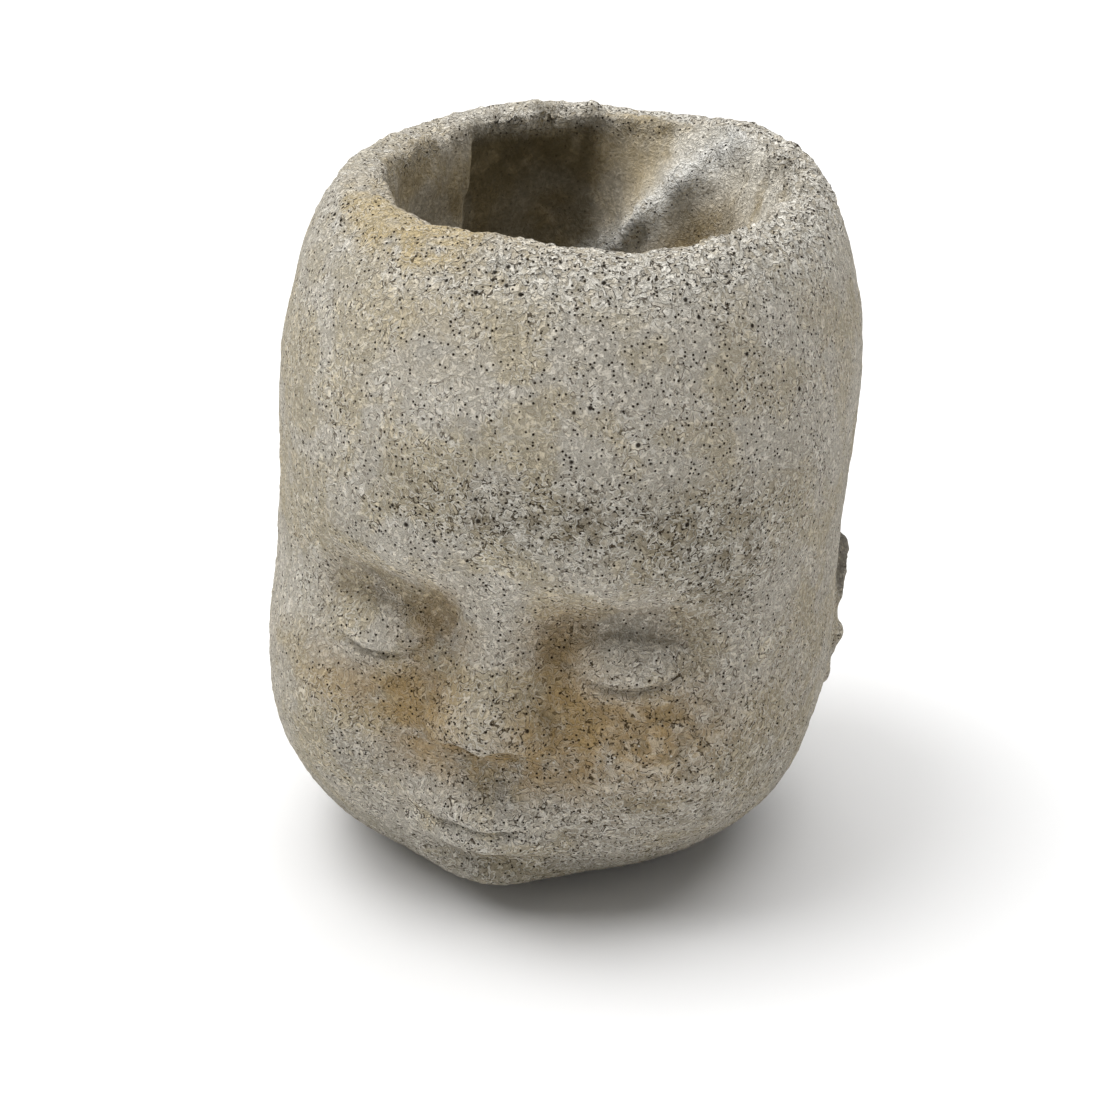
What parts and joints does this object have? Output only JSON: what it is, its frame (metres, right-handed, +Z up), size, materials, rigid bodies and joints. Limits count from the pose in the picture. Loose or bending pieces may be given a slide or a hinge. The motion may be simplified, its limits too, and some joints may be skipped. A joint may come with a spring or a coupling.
{
  "type": "concrete head planter",
  "caption": "Planter cast in concrete as a small child's sleeping head, hollow and open at the crown, with thick walls, low ears and a flat underside to stand on.",
  "frame": {"origin": "the middle of the casting's bounding box, on the surface it stands on", "axes": "+Z up out of the open crown, -Y towards the viewer of the face, +X towards the head's own left ear"},
  "size_m": [0.1284, 0.143, 0.153],
  "materials": {
    "concrete": "weathered pale grey-buff cast concrete, matt and porous, stained ochre in the hollows of the face"
  },
  "bodies": {
    "root": {"concrete_head": "concrete"}
  },
  "joints": []
}
